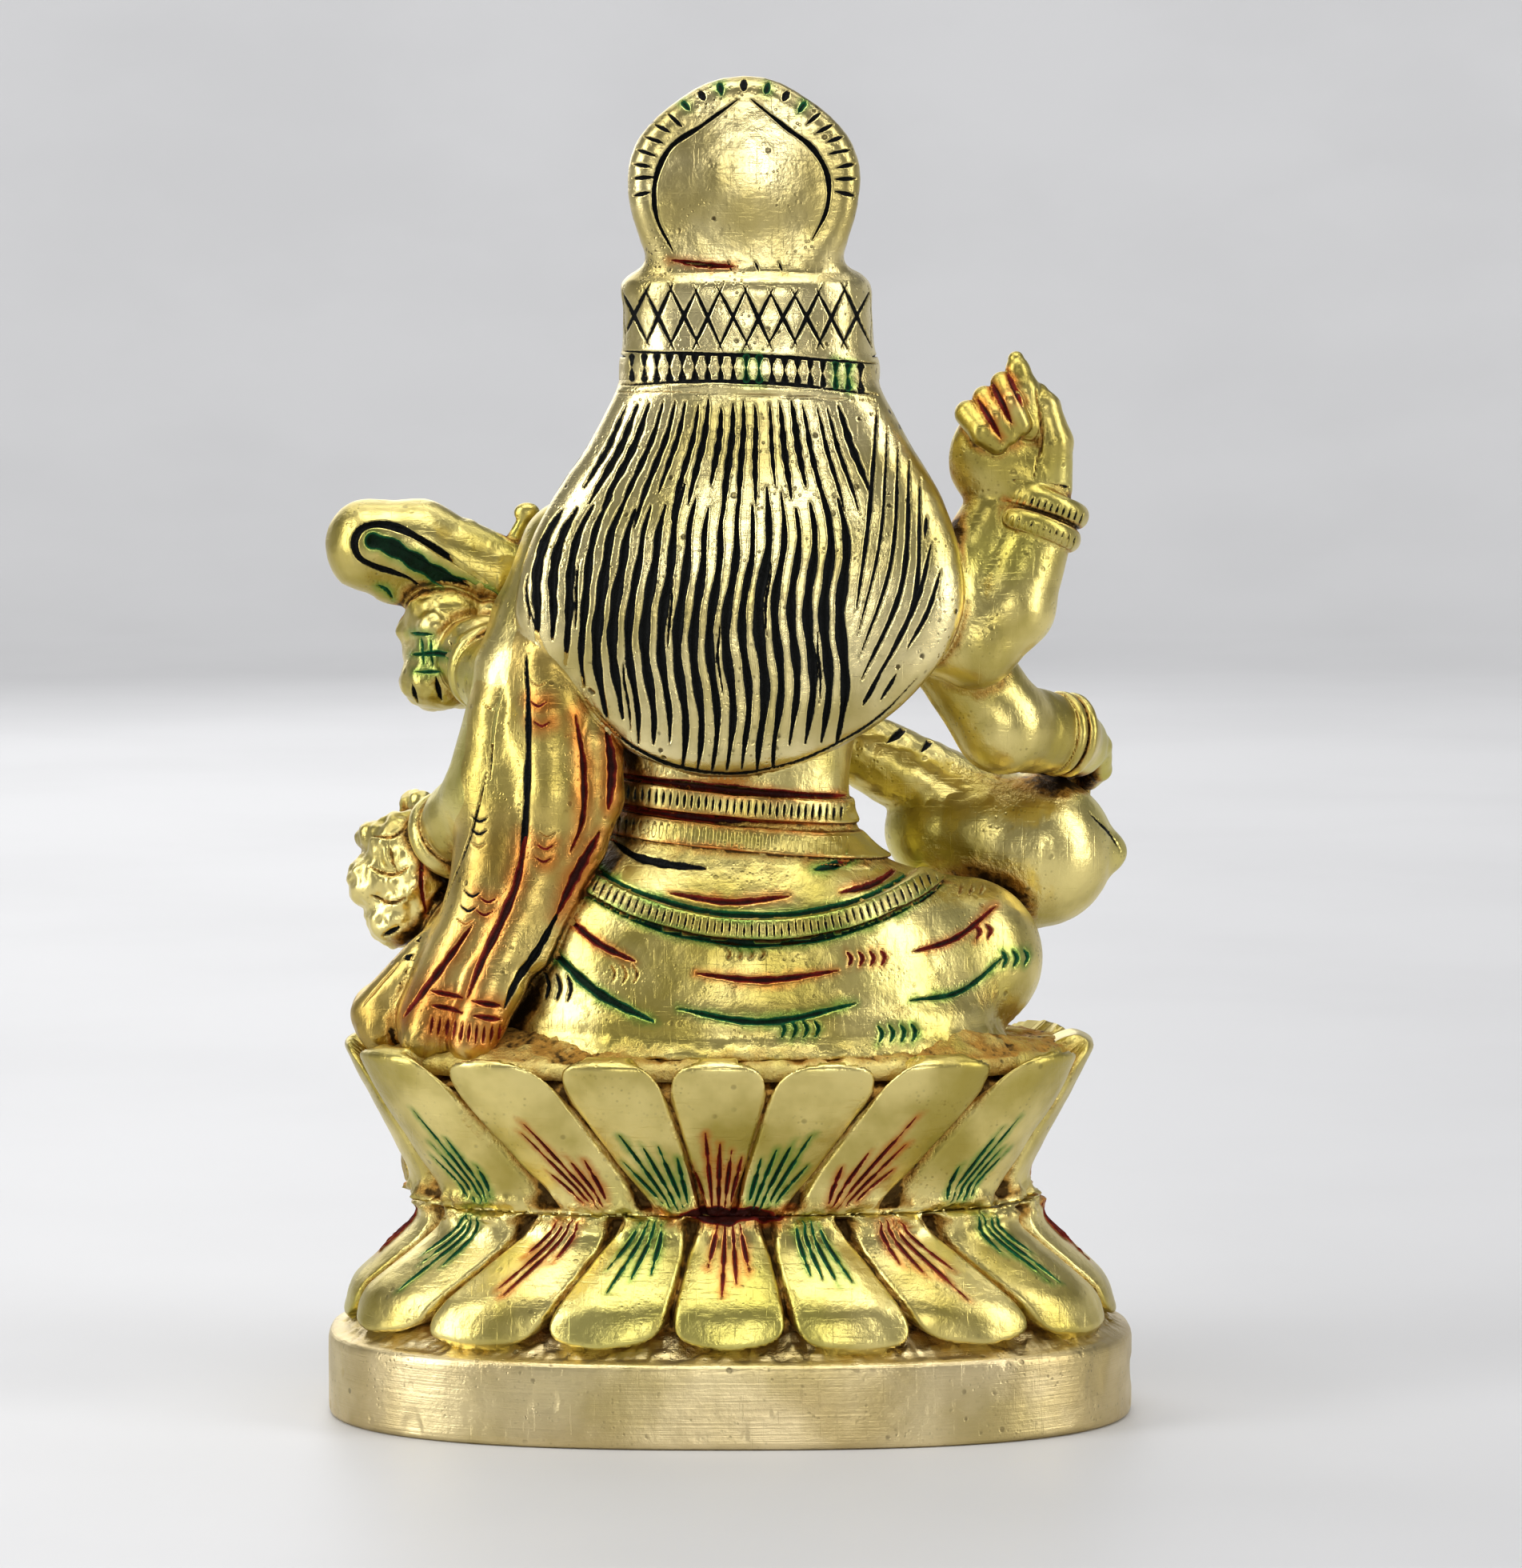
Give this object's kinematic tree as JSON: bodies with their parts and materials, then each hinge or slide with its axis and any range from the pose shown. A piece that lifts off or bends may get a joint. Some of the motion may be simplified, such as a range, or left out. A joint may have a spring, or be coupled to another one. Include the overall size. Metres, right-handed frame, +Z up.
{
  "type": "hindu deity statue",
  "caption": "Cast and engraved brass figurine of a seated four-armed goddess with a lute, on a double lotus and an oval plinth.",
  "frame": {"origin": "centre of the underside of the plinth, on the surface that the statue stands on", "axes": "+Z up along the figure's height; the figure faces -Y and her back is +Y; +X is the figure's own left"},
  "size_m": [0.0925, 0.054, 0.15],
  "materials": {
    "cast_brass": "hand-buffed cast brass with warm brown left in the hollows and dark red and green lacquer in the cut lines",
    "engraved_brass": "buffed brass with chased lines, some filled with dark red, green or black lacquer",
    "lacquered_brass": "buffed brass strands between deep grooves filled with gloss black lacquer",
    "rough_brass": "sand-cast brass left rough and pitted, not buffed",
    "brushed_brass": "belt-brushed brass with fine lines round the plinth and shallow scratches"
  },
  "bodies": {
    "root": {"plinth": "brushed_brass", "lower_lotus": "engraved_brass", "upper_lotus": "engraved_brass", "lotus_seat": "rough_brass", "skirt": "cast_brass", "feet": "cast_brass", "hip_chain": "engraved_brass", "torso": "cast_brass", "waist_belt": "engraved_brass", "necklace": "engraved_brass", "head": "cast_brass", "earrings": "engraved_brass", "hair": "lacquered_brass", "crown_band": "engraved_brass", "crown_front": "engraved_brass", "crown_finial": "engraved_brass", "rear_right_arm": "cast_brass", "rear_right_bangle": "engraved_brass", "rear_right_hand": "cast_brass", "front_right_arm": "cast_brass", "front_right_bangle": "engraved_brass", "front_right_hand": "cast_brass", "front_left_arm": "cast_brass", "front_left_bangle": "engraved_brass", "front_left_hand": "cast_brass", "rear_left_arm": "cast_brass", "rear_left_bangle": "engraved_brass", "rear_left_hand": "cast_brass", "manuscript": "rough_brass", "shawl": "cast_brass", "shawl_hem": "engraved_brass", "veena_bowl": "cast_brass", "veena_neck": "cast_brass", "veena_head": "cast_brass", "veena_bridge": "engraved_brass", "veena_frets": "engraved_brass", "veena_pegs": "engraved_brass", "swan": "cast_brass", "swan_wings": "cast_brass"}
  },
  "joints": []
}
